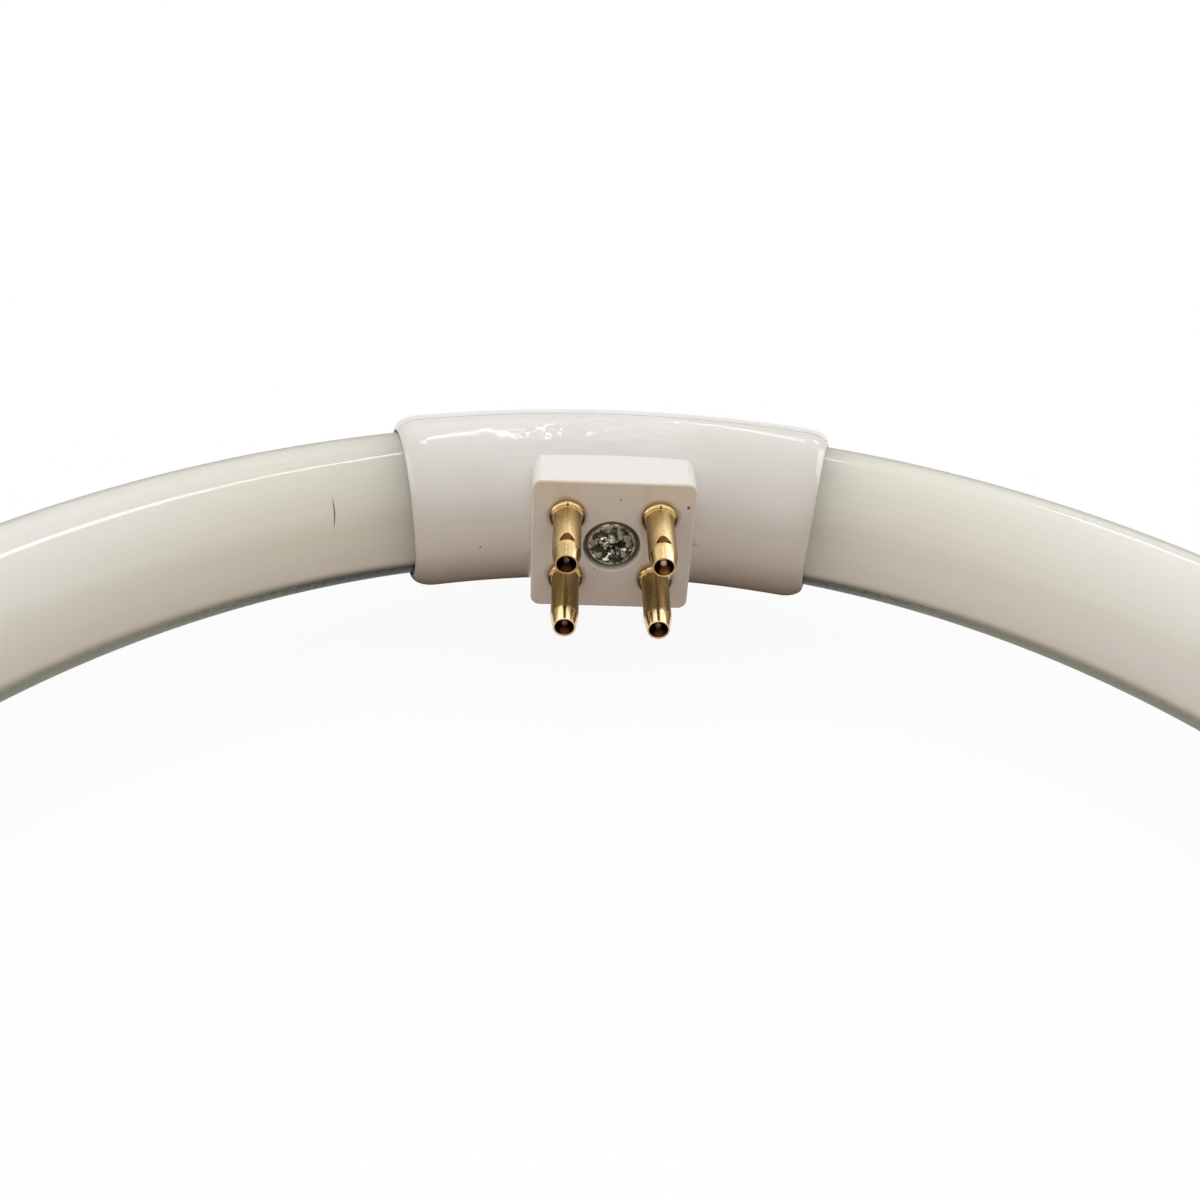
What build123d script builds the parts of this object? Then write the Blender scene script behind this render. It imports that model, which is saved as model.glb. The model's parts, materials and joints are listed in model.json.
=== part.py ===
"""Circular lamp tube: a sealed glass ring with a four-pin base that turns a little on the tube."""

import os
from math import asin, cos, degrees, radians, sin

from build123d import *

# Glass ring
ring_outside_diameter = 145.0
tube_diameter = 12.7
glass_gap = 25.0  # along the tube's centre line, between the two sealed ends
seal_round = 2.2
exhaust_tip_diameter = 2.6
exhaust_tip_length = 3.2
exhaust_tip_round = 0.9

# Base collar, two half shells round the tube's ends
collar_span = 37.6  # straight across, from mouth to mouth on the tube's centre line
collar_wall = 0.6
swivel_half_range = 30.0  # degrees, each way
swivel_clearance = 0.12
lip_clearance = 0.3  # between the glass and the collar's two mouths
lip_length = 2.0  # each mouth closes in on the glass over this length
lip_edge = 0.08  # thickness left at the mouth's edge, where the lip rounds over
pivot_inset = 0.27  # the swivel axis lies this far outside the line through the mouths
seam_offset = 1.2  # the shells part this far outside the tube's centre line
seam_clearance = 0.1

# Pin block, moulded on the inner shell
pin_spacing_x = 7.92
pin_spacing_z = 6.35
block_margin_x = 3.07
block_margin_z = 3.28
block_reach = 2.6  # how far the front face stands off the tube's surface
block_depth = 5.55
block_corner_round = 0.8
block_edge_round = 0.2

# Contact pins, hollow and crimped on their lead wires
pin_diameter = 2.4
pin_bore_diameter = 1.24
pin_length = 7.65
pin_tip_length = 1.5
pin_tip_diameter = 1.9
pin_mouth_diameter = 1.64  # the bore opens out to this at the tip
pin_mouth_depth = 0.8
pin_flange_diameter = 3.1
pin_flange_thickness = 0.6
pin_flange_round = 0.2
pin_stake_diameter = 3.0
pin_stake_thickness = 0.4
pin_tail_length = 1.2
pin_hole_clearance = 0.03
crimp_distance = 5.7  # from the block's face to the dent's flat side
crimp_width = 1.3  # of the half-moon dent, flat towards the tip
crimp_length = 1.1
crimp_floor_width = 0.7
crimp_floor_length = 0.4
crimp_depth = 0.4

# Clamp screw
screw_head_diameter = 4.6
screw_head_height = 1.4
screw_head_round = 0.6
screw_sink = 0.2  # the head lies this far below the block's face
screw_shank_diameter = 2.2
screw_length = 10.0
screw_clearance = 0.04
recess_clearance = 0.2
recess_edge_round = 0.2
shank_clearance = 0.1
cross_length = 2.5
cross_width = 0.6
cross_depth = 0.9
cross_taper = 10.0
boss_wall = 1.1
boss_clearance = 0.1

# Lead wires
wire_diameter = 0.5
wire_spread = 2.4  # from the middle of the sealed end
wire_lead_out = 1.6
wire_slack_depth = 1.6  # how far behind the pins the wires turn
wire_bend = 0.9
wire_end_setback = 0.6  # from the pin's tip

# Places worked out from the sizes above
tube_radius = tube_diameter / 2
ring_radius = (ring_outside_diameter - tube_diameter) / 2
mouth_angle = degrees(asin(collar_span / 2 / ring_radius))
glass_end_angle = degrees(glass_gap / 2 / ring_radius)
mouth_sag = ring_radius * (1 - cos(radians(mouth_angle)))
glass_end_sag = ring_radius * (1 - cos(radians(glass_end_angle)))
pivot_setback = mouth_sag - pivot_inset
swivel_swing = 2 * (pivot_setback - glass_end_sag) * sin(radians(swivel_half_range / 2))
cavity_radius = tube_radius + swivel_swing + swivel_clearance
lip_radius = tube_radius + lip_clearance
collar_radius = cavity_radius + collar_wall
axis_height = collar_radius
lip_round = collar_radius - lip_radius - lip_edge
lip_angle = mouth_angle - degrees(lip_length / ring_radius)
block_width = pin_spacing_x + 2 * block_margin_x
block_height = pin_spacing_z + 2 * block_margin_z
face_distance = tube_radius + block_reach
face_y = ring_radius - face_distance
block_back_y = face_y + block_depth
recess_radius = screw_head_diameter / 2 + recess_clearance
seam_radius = ring_radius + seam_offset
seam_cut_height = 4 * collar_radius
radius_tolerance = 0.001

os.makedirs("parts", exist_ok=True)


def ring_section(angle):
    """Plane across the tube at an angle from the base's middle, +X side positive."""
    a = radians(90 - angle)
    return Plane(origin=(0, 0, 0), x_dir=(cos(a), sin(a), 0), z_dir=(sin(a), -cos(a), 0))


def face_plane(y=face_y):
    """Plane square to the pins, looking the way they point, centred on the tube's axis."""
    return Plane(origin=(0, y, axis_height), x_dir=(1, 0, 0), z_dir=(0, -1, 0))


def circles(edges, radius):
    """The circular edges of one radius."""
    return edges.filter_by(GeomType.CIRCLE).filter_by(lambda e: abs(e.radius - radius) < radius_tolerance)


# Glass tube: the bent tube, its two rounded sealed ends and an exhaust tip on each
with BuildPart() as glass_tube:
    with BuildSketch(ring_section(-glass_end_angle)):
        with Locations((ring_radius, axis_height)):
            Circle(tube_radius)
    revolve(axis=Axis.Z, revolution_arc=360 - 2 * glass_end_angle)
    fillet(circles(glass_tube.edges(), tube_radius), radius=seal_round)
    for side in (-1, 1):
        end = ring_section(side * glass_end_angle)
        with BuildSketch(end):
            with Locations((ring_radius, axis_height)):
                Circle(exhaust_tip_diameter / 2)
        extrude(amount=-side * exhaust_tip_length)
    tips = circles(glass_tube.edges(), exhaust_tip_diameter / 2)
    fillet(tips.sort_by(lambda e: abs(e.center().X))[:2], radius=exhaust_tip_round)
glass_tube.part.label = "glass_tube"
export_step(glass_tube.part, "parts/glass_tube.step")

# Collar blank: both shells in one, hollow for the swivel, with a rounded lip at each mouth
with BuildPart() as collar_blank:
    with BuildSketch(ring_section(lip_angle)):
        with Locations((ring_radius, axis_height)):
            Circle(collar_radius)
            Circle(cavity_radius, mode=Mode.SUBTRACT)
    revolve(axis=Axis.Z, revolution_arc=2 * lip_angle)
    for side in (-1, 1):
        section = ring_section(side * lip_angle)
        middle = section.from_local_coords((ring_radius, axis_height))
        outward = section.z_dir * side
        with BuildSketch(Plane(origin=middle, x_dir=outward, z_dir=outward.cross(Vector(0, 0, 1)))):
            with BuildLine():
                Polyline((0, collar_radius), (0, lip_radius), (lip_length, lip_radius),
                         (lip_length, collar_radius - lip_round))
                EllipticalCenterArc((0, collar_radius - lip_round), lip_length, lip_round, arc_size=90)
            make_face()
        revolve(axis=Axis(middle, outward))

# Inner half of the collar, towards the ring's middle
with BuildPart() as inner_half:
    add(collar_blank.part)
    with Locations((0, 0, axis_height)):
        Cylinder(seam_radius - seam_clearance / 2, seam_cut_height, mode=Mode.INTERSECT)

# Inner shell: the pin block, with its softened front edge, on the inner half of the collar
with BuildPart() as inner_shell:
    with BuildSketch(face_plane()):
        RectangleRounded(block_width, block_height, block_corner_round)
    extrude(amount=-block_depth)
    fillet(inner_shell.faces().sort_by(Axis.Y)[0].edges(), radius=block_edge_round)
    add(inner_half.part)
    with BuildSketch(face_plane()):
        with GridLocations(pin_spacing_x, pin_spacing_z, 2, 2):
            Circle(pin_diameter / 2 + pin_hole_clearance)
        Circle(screw_shank_diameter / 2 + shank_clearance)
    extrude(amount=-block_depth, mode=Mode.SUBTRACT)
    with BuildSketch(face_plane()):
        Circle(recess_radius)
    extrude(amount=-(screw_sink + screw_head_height), mode=Mode.SUBTRACT)
    fillet(circles(inner_shell.edges(), recess_radius).sort_by(Axis.Y)[0], radius=recess_edge_round)
inner_shell.part.label = "inner_shell"
export_step(inner_shell.part, "parts/inner_shell.step")

# Outer shell: the other half of the collar, with the boss that takes the screw
screw_tip_y = face_y + screw_sink + screw_head_height + screw_length
with BuildPart() as outer_shell:
    add(collar_blank.part)
    with Locations((0, 0, axis_height)):
        Cylinder(seam_radius + seam_clearance / 2, seam_cut_height, mode=Mode.SUBTRACT)
    with BuildSketch(face_plane(y=block_back_y + boss_clearance)):
        Circle(screw_shank_diameter / 2 + boss_wall)
    extrude(amount=-(ring_radius + cavity_radius - block_back_y))
    with BuildSketch(face_plane(y=block_back_y + boss_clearance)):
        Circle(screw_shank_diameter / 2 + screw_clearance)
    extrude(amount=-(screw_tip_y + boss_clearance - block_back_y), mode=Mode.SUBTRACT)
outer_shell.part.label = "outer_shell"
export_step(outer_shell.part, "parts/outer_shell.step")

# Clamp screw, through the block into the outer shell's boss
with BuildPart() as clamp_screw:
    seat_y = face_y + screw_sink + screw_head_height
    with BuildSketch(face_plane(y=seat_y)):
        Circle(screw_head_diameter / 2)
    extrude(amount=screw_head_height)
    fillet(clamp_screw.faces().sort_by(Axis.Y)[0].edges(), radius=screw_head_round)
    with BuildSketch(face_plane(y=seat_y)):
        Circle(screw_shank_diameter / 2)
    extrude(amount=-screw_length)
    with BuildSketch(face_plane(y=face_y + screw_sink)):
        Rectangle(cross_length, cross_width)
        Rectangle(cross_width, cross_length)
    extrude(amount=-cross_depth, taper=cross_taper, mode=Mode.SUBTRACT)
clamp_screw.part.label = "clamp_screw"
export_step(clamp_screw.part, "parts/clamp_screw.step")

# Contact pins and their lead wires, one of each at every corner of the block
for side, side_name in ((-1, "left"), (1, "right")):
    for level, level_name in ((1, "upper"), (-1, "lower")):
        pin_x = side * pin_spacing_x / 2
        pin_z = axis_height + level * pin_spacing_z / 2
        pin_plane = Plane(origin=(pin_x, face_y, pin_z), x_dir=(0, -1, 0), z_dir=(-level, 0, 0))
        shaft = pin_diameter / 2
        bore = pin_bore_diameter / 2
        flange = pin_flange_diameter / 2
        stake = pin_stake_diameter / 2
        with BuildPart() as contact_pin:
            with BuildSketch(pin_plane):
                with BuildLine():
                    Polyline(
                        (-block_depth - pin_tail_length, bore),
                        (-block_depth - pin_tail_length, shaft),
                        (-block_depth - pin_stake_thickness, shaft),
                        (-block_depth - pin_stake_thickness, stake),
                        (-block_depth, stake),
                        (-block_depth, shaft),
                        (0, shaft),
                        (0, flange),
                        (pin_flange_thickness, flange),
                        (pin_flange_thickness, shaft),
                        (pin_length - pin_tip_length, shaft),
                        (pin_length, pin_tip_diameter / 2),
                        (pin_length, pin_mouth_diameter / 2),
                        (pin_length - pin_mouth_depth, bore),
                        close=True,
                    )
                profile = make_face()
                fillet(
                    profile.vertices().group_by(Axis.Z)[-1 if level > 0 else 0].sort_by(Axis.Y)[:2],
                    radius=pin_flange_round)
            revolve(axis=Axis((pin_x, face_y, pin_z), (0, -1, 0)))
            crimp_y = face_y - crimp_distance
            crimp_top = Plane(
                origin=(pin_x, crimp_y, pin_z + level * shaft), x_dir=(1, 0, 0), z_dir=(0, 0, level))
            for depth, width, reach in (
                    (0, crimp_width, crimp_length), (crimp_depth, crimp_floor_width, crimp_floor_length)):
                with BuildSketch(crimp_top.offset(-depth)):
                    with BuildLine():
                        EllipticalCenterArc(
                            (0, 0), width / 2, reach, start_angle=90 - level * 90, arc_size=180)
                        Line((width / 2, 0), (-width / 2, 0))
                    make_face()
            loft(mode=Mode.SUBTRACT)
        contact_pin.part.label = f"contact_pin_{level_name}_{side_name}"
        export_step(contact_pin.part, f"parts/contact_pin_{level_name}_{side_name}.step")

        end = ring_section(side * glass_end_angle)
        seal = end.from_local_coords((ring_radius, axis_height + level * wire_spread))
        lead_out = seal + end.z_dir * (-side * wire_lead_out)
        turn = Vector(pin_x, block_back_y + pin_tail_length + wire_slack_depth, pin_z)
        wire_end = Vector(pin_x, face_y - pin_length + wire_end_setback, pin_z)
        with BuildPart() as lead_wire:
            with BuildLine() as route:
                FilletPolyline(seal, lead_out, turn, wire_end, radius=wire_bend)
            with BuildSketch(Plane(origin=seal, z_dir=lead_out - seal)):
                Circle(wire_diameter / 2)
            sweep(path=route.line)
        lead_wire.part.label = f"lead_wire_{level_name}_{side_name}"
        export_step(lead_wire.part, f"parts/lead_wire_{level_name}_{side_name}.step")
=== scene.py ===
"""Circular lamp tube: a coated glass ring, its moulded base, contact pins, clamp screw and lead wires."""

import json
from math import cos, pi, radians, sin

import bmesh
import bpy
from mathutils import Matrix, Vector, noise


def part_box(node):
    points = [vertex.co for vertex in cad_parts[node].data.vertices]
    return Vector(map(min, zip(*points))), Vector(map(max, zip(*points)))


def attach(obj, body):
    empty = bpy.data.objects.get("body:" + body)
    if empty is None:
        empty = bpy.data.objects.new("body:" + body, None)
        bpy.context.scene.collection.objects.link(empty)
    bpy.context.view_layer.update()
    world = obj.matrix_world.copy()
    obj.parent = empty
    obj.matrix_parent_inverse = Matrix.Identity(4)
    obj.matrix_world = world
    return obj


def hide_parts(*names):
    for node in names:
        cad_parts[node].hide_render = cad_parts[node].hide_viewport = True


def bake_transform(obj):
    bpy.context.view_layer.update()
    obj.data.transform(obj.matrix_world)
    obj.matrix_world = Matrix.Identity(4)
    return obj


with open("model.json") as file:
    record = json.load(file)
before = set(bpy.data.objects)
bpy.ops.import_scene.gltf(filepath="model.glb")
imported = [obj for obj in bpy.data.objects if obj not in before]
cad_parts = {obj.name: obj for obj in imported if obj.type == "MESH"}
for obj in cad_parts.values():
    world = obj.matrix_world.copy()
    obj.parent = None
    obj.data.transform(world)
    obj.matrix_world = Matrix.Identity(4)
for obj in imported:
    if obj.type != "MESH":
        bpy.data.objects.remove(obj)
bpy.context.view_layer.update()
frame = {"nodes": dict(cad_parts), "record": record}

bl_info = {
    "name": "Circular Lamp Tube",
    "version": (1, 0, 0),
    "blender": (4, 5, 0),
    "location": "3D View > Sidebar > Lamp",
    "description": "Builds a circular lamp tube's glass ring, base, pins, screw and wires on its CAD frame",
    "category": "Object",
}

MM = 0.001
WELD = 0.001 * MM  # points closer than this are one

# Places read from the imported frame
mounts = {mount["name"]: mount for mount in frame["record"]["mounts"]}
ring_radius = -mounts["clip_seat"]["pos_m"][1]
axis_height = mounts["clip_seat"]["pos_m"][2]
tube_radius = -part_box("glass_tube")[0].y - ring_radius
corners = [(level, side) for side in ("left", "right") for level in ("lower", "upper")]
pin_mount = mounts["pin_upper_right"]
pin_offset_x = pin_mount["pos_m"][0]
pin_offset_z = pin_mount["pos_m"][2] - axis_height
pin_radius = pin_mount["dims"]["r_mm"] * MM
pin_straight_end = pin_mount["pos_m"][1] - pin_mount["dims"]["length_mm"] * MM / 2
flange_front = pin_mount["pos_m"][1] + pin_mount["dims"]["length_mm"] * MM / 2
pin_low, pin_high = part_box("contact_pin_upper_right")
flange_radius = (pin_high.x - pin_low.x) / 2
bead_mm = 0.6  # thickness of a pin's bead, in millimetres
face_y = flange_front + bead_mm * MM
screw_low, screw_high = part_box("clamp_screw")
screw_radius = (screw_high.x - screw_low.x) / 2
collar_radius = axis_height


def length(name, size_mm, description):
    """A length property, its default given in millimetres."""
    return bpy.props.FloatProperty(
        name=name, description=description, default=size_mm * MM, min=0, precision=5, unit="LENGTH")


def angle(name, degrees, description):
    """An angle property, its default given in degrees."""
    return bpy.props.FloatProperty(
        name=name, description=description, default=radians(degrees), subtype="ANGLE")


def share(name, value, description):
    """A plain number from 0 to 1."""
    return bpy.props.FloatProperty(name=name, description=description, default=value, min=0, max=1)


def count(name, value, description):
    """A whole number of segments or cuts."""
    return bpy.props.IntProperty(name=name, description=description, default=value, min=3)


def colour(name, rgb, description):
    """A colour property, in linear light."""
    return bpy.props.FloatVectorProperty(
        name=name, description=description, default=rgb, size=3, min=0, max=1, subtype="COLOR")


def power(name, watts, description):
    """A light's power."""
    return bpy.props.FloatProperty(name=name, description=description, default=watts, min=0, unit="POWER")


def extent(name, size_mm, description):
    """A light's width and depth, given in millimetres."""
    return bpy.props.FloatVectorProperty(
        name=name, description=description, default=[side * MM for side in size_mm], size=2, min=0,
        unit="LENGTH")


def spot(name, place_mm, description):
    """A place in the lamp's frame, given in millimetres."""
    return bpy.props.FloatVectorProperty(
        name=name, description=description, default=[along * MM for along in place_mm], size=3,
        subtype="TRANSLATION")


class GlassSettings(bpy.types.PropertyGroup):
    """Sizes and colours of the coated glass ring."""

    gap: length("Gap", 25.0, "Along the tube's centre line, between its two sealed ends")
    seal_round: length("Seal round", 2.2, "Rounding of the sealed ends")
    tip_diameter: length("Tip diameter", 2.6, "Exhaust tip on each sealed end")
    tip_length: length("Tip length", 3.2, "How far the exhaust tip stands out")
    tip_round: length("Tip round", 0.9, "Rounding of the exhaust tip")
    wall: length("Wall", 0.9, "Clear glass outside the coat")
    around: count("Around", 96, "Segments round the tube")
    along: count("Along", 360, "Segments along the ring")
    seal_steps: count("Seal steps", 8, "Segments of a sealed end's rounding")
    tip_steps: count("Tip steps", 4, "Segments of an exhaust tip's rounding")
    coat: colour("Coat", (0.72, 0.72, 0.645), "Powder coat behind the glass")
    coat_end: colour("Coat at the ends", (0.67, 0.64, 0.525), "Coat near the base, where it has aged")
    # Painted light: the lower coat is painted lighter and bluer, more so on the right arm, standing in for
    # light through the tube
    coat_low: colour("Lower coat", (0.88, 0.97, 0.96), "Coat where it has settled thicker")
    scatter: length("Scatter", 30.0, "How far light spreads inside the coated tube")
    # Painted reflection: these colours paint what the clear wall reflects where it is seen edge on, darkest
    # near the base
    rim: colour("Rim", (0.43, 0.53, 0.50), "Clear wall seen edge on, away from the base")
    rim_end: colour("Rim at the ends", (0.020, 0.022, 0.015), "Clear wall seen edge on, near the base")
    rim_top: colour("Upper rim", (0.33, 0.31, 0.22), "Clear wall seen edge on, along the top")
    mark: colour("Mark", (0.06, 0.055, 0.045), "Scratch and specks in the coat")
    mark_turn: angle("Mark turn", -22.85, "Where the scratch lies round the ring from the base")
    mark_slope: angle("Mark slope", 148.0, "Where the scratch lies round the tube's section")
    mark_half: length("Mark half length", 1.45, "Half the scratch's length round the tube")
    mark_width: length("Mark width", 0.15, "The scratch's widest part")
    mark_bow: length("Mark bow", 0.16, "How far the scratch's ends bend away")
    mark_lean: length("Mark lean", 0.22, "How far the scratch's ends lean along the tube")


class PlasticSettings(bpy.types.PropertyGroup):
    """Colours and finish of the moulded base."""

    body: colour("Body", (0.80, 0.755, 0.705), "Moulded white plastic")
    # Also the colour of the painted shade on the right of the collar
    shade: colour("Shade", (0.75, 0.70, 0.645), "Cloudy patches in the moulding")
    # Painted shade: grey for the shaded underside
    grime: colour("Grime", (0.36, 0.34, 0.32), "Dull underside of the block and of the collar's inner half")
    # Gives the upper part of the block's face a warmer, browner tone
    warm: colour("Warm", (0.80, 0.69, 0.56), "Yellowed upper part of the block's face")
    speck: colour("Speck", (0.05, 0.045, 0.04), "Dirt specks")
    # Partly dirt, partly painted reflection of the brass on the plastic round the beads
    stain: colour("Stain", (0.42, 0.25, 0.11), "Stain round the pins' beads")
    block_margin: length("Block margin", 3.07, "From a pin's axis to the side of the block")
    block_drop: length("Block drop", 3.28, "From a lower pin's axis down to the block's underside")
    roughness: share("Roughness", 0.08, "Gloss of the moulding")
    ripple: length("Ripple", 0.03, "Height of the moulding's slow waves")
    crinkle: length("Crinkle", 0.25, "Height of the creases on the collar's top")


class PinSettings(bpy.types.PropertyGroup):
    """Sizes and colours of the brass contact pins."""

    bore: length("Bore", 1.24, "Bore for the lead wire")
    mouth: length("Mouth", 1.64, "Bore at the tip's open mouth")
    mouth_depth: length("Mouth depth", 0.8, "How far in the mouth narrows to the bore")
    tip: length("Tip", 1.9, "Outside of the tip's end")
    flange_thickness: length("Flange thickness", bead_mm, "Bead against the block's face")
    tail: length("Tail", 1.2, "Behind the block")
    stake: length("Stake", 3.0, "Spread rim that holds the pin in the block")
    stake_thickness: length("Stake thickness", 0.4, "Of the spread rim")
    edge: length("Edge", 0.28, "Rounding of the bead")
    shoulder: length("Shoulder", 0.22, "Rounding where the tip starts")
    rim: length("Rim", 0.05, "Rounding of the mouth's thin rim")
    crimp: length("Crimp", 5.7, "From the block's face to the dent's flat side")
    crimp_width: length("Crimp width", 1.2, "Across the pin")
    crimp_length: length("Crimp length", 1.1, "Along the pin")
    crimp_depth: length("Crimp depth", 0.42, "Of the dent")
    notch: length("Notch", 0.16, "Small dent in the bead's front edge")
    notch_width: length("Notch width", 0.42, "Across the small dent")
    around: count("Around", 96, "Segments round a pin")
    edge_steps: count("Edge steps", 5, "Segments of a rounded edge")
    shaft_cuts: count("Shaft cuts", 90, "Cuts along the shaft, for the dent")
    brass: colour("Brass", (0.62, 0.44, 0.20), "Clean brass")
    # Also painted shade on the sides of the shafts
    tarnish: colour("Tarnish", (0.27, 0.175, 0.068), "Dulled brass")
    dent: colour("Dent", (0.11, 0.038, 0.010), "Reddish brass inside the crimp")
    # Dirt in the shaft's pits, and painted shade on the underside and under the bead
    dark: colour("Dark", (0.04, 0.019, 0.008), "Dirt under the bead and on the underside")
    inside: colour("Inside", (0.45, 0.24, 0.13), "Brown inside the bore")
    # Painted reflection: stands in for darker surroundings mirrored in the lower pins
    stripe: colour("Stripe", (0.23, 0.145, 0.018), "Dark drawn stripes of the lower pins")
    # Painted highlight colour
    gleam: colour("Gleam", (0.88, 0.70, 0.40), "Polished streak on the upper pins, and lower pins' tips")


class ScrewSettings(bpy.types.PropertyGroup):
    """Sizes and colours of the clamp screw."""

    head_height: length("Head height", 1.4, "From the seat to the top")
    shank: length("Shank", 2.2, "Outside of the shank")
    edge: length("Edge", 0.6, "Rounding of the head")
    slot_length: length("Slot length", 2.5, "Across the cross recess")
    slot_width: length("Slot width", 0.85, "Of one arm of the cross")
    slot_depth: length("Slot depth", 0.6, "Of the cross")
    slot_edge: length("Slot edge", 0.3, "Worn slope along the cross")
    dent: length("Dent", 0.11, "Height of the worn head's dents")
    dent_size: length("Dent size", 0.55, "Across one dent")
    around: count("Around", 128, "Segments round the head")
    edge_steps: count("Edge steps", 8, "Segments of the head's rounding")
    face_cuts: count("Face cuts", 40, "Cuts across the head's flat, for the dents")
    # Painted highlight: colour of the painted glints and the pale spot
    zinc: colour("Zinc", (0.84, 0.82, 0.74), "Bright plate")
    ring: colour("Ring", (0.38, 0.325, 0.235), "Plate round the edge of the head")
    grey: colour("Grey", (0.25, 0.22, 0.155), "Dulled plate")
    # Worn patches, and painted reflection of darker surroundings
    worn: colour("Worn", (0.035, 0.032, 0.021), "Dark worn patches")


class WireSettings(bpy.types.PropertyGroup):
    """Colours of the lead wires."""

    tinned: colour("Tinned", (0.86, 0.80, 0.76), "Tinned copper")
    copper: colour("Copper", (0.55, 0.27, 0.14), "Bare copper")
    # Painted shade: the wire ends inside the pins
    tarnish: colour("Tarnish", (0.06, 0.025, 0.015), "Ends that have darkened in the pins")


class StageSettings(bpy.types.PropertyGroup):
    """Floor, light and camera."""

    floor: colour("Floor", (0.46, 0.29, 0.165), "Warm floor as it lights the lamp")
    floor_size: length("Floor size", 8000.0, "Width of the floor")
    floor_drop: length("Floor drop", 4.0, "Gap down to the floor, so that the turned pins clear it")
    glow: share("Glow", 0.92, "Part of the floor's white that doesn't take shadow")
    sky: colour("Sky", (0.26, 0.258, 0.255), "Soft light from all round")
    top_power: power("Top light", 76.0, "Soft light overhead")
    top_size: extent("Top size", (6000, 6000), "Of the soft light overhead")
    top_place: spot("Top place", (0, 0, 1500), "Middle of the soft light overhead")
    top_tint: colour("Top tint", (0.955, 0.98, 1.0), "Daylight from overhead")
    bar_power: power("Bar light", 0.37, "Bar whose reflection runs along the left of the glass")
    bar_size: extent("Bar size", (220, 100), "Of the bar")
    bar_place: spot("Bar place", (-140, 500, 1000), "Middle of the bar")
    line_power: power("Line light", 0.26, "Line that shows on the left of the collar")
    line_size: extent("Line size", (14, 650), "Of the line")
    line_place: spot("Line place", (-30, 825, 1000), "Middle of the line")
    strip_power: power("Strip light", 0.65, "Strip that shows on the right of the collar")
    strip_size: extent("Strip size", (50, 1400), "Of the strip")
    strip_place: spot("Strip place", (300, 1870, 1000), "Middle of the strip")
    back_power: power("Back light", 1.5, "Light that shows along the top of the glass on the right")
    back_size: extent("Back size", (560, 420), "Of the back light")
    back_place: spot("Back place", (1080, 1800, 1000), "Middle of the back light")
    right_power: power("Right panel", 4.5, "Soft panel on the right")
    right_size: extent("Right size", (800, 800), "Of the right panel")
    right_place: spot("Right place", (1000, 550, 450), "Middle of the right panel")
    left_power: power("Left panel", 2.5, "Soft panel on the left")
    left_size: extent("Left size", (800, 500), "Of the left panel")
    left_place: spot("Left place", (-1000, 50, 270), "Middle of the left panel")
    lens: bpy.props.FloatProperty(
        name="Lens", description="Focal length", default=38.0, min=1, unit="CAMERA")
    camera: spot("Camera", (-4.66, -35.17, axis_height / MM + 60.74), "Where the camera stands")
    camera_turn: angle("Camera turn", -2.41, "Turn of the view from +Y towards -X")
    camera_dip: angle("Camera dip", 35.72, "How far the view points below the horizon")
    camera_roll: angle("Camera roll", 3.1, "Turn of the view about its own line, clockwise")


class LampSettings(bpy.types.PropertyGroup):
    """All settings of the lamp."""

    glass: bpy.props.PointerProperty(type=GlassSettings)
    plastic: bpy.props.PointerProperty(type=PlasticSettings)
    pins: bpy.props.PointerProperty(type=PinSettings)
    screw: bpy.props.PointerProperty(type=ScrewSettings)
    wires: bpy.props.PointerProperty(type=WireSettings)
    stage: bpy.props.PointerProperty(type=StageSettings)


class Value:
    """One output socket. Python's operators on it add Math nodes to its finish."""

    def __init__(self, finish, socket):
        self.finish = finish
        self.socket = socket

    def math(self, operation, *values):
        return self.finish.node("Math", {"operation": operation}, dict(enumerate(values)))

    def __add__(self, other):
        return self.math("ADD", self, other)

    def __radd__(self, other):
        return self + other

    def __sub__(self, other):
        return self.math("SUBTRACT", self, other)

    def __rsub__(self, other):
        return self.math("SUBTRACT", other, self)

    def __mul__(self, other):
        return self.math("MULTIPLY", self, other)

    def __rmul__(self, other):
        return self * other

    def __truediv__(self, other):
        return self.math("DIVIDE", self, other)

    def __rtruediv__(self, other):
        return self.math("DIVIDE", other, self)

    def __pow__(self, other):
        return self.math("POWER", self, other)

    def __rpow__(self, other):
        return self.math("POWER", other, self)

    def __abs__(self):
        return self.math("ABSOLUTE", self)

    def sign(self):
        return self.math("SIGN", self)

    def largest(self, other):
        return self.math("MAXIMUM", self, other)

    def rise(self, low, high):
        """0 below low, 1 above high, smooth between; it falls where low is above high."""
        return self.finish.node(
            "MapRange", {"interpolation_type": "SMOOTHSTEP"},
            {"Value": self, "From Min": low, "From Max": high})


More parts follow.
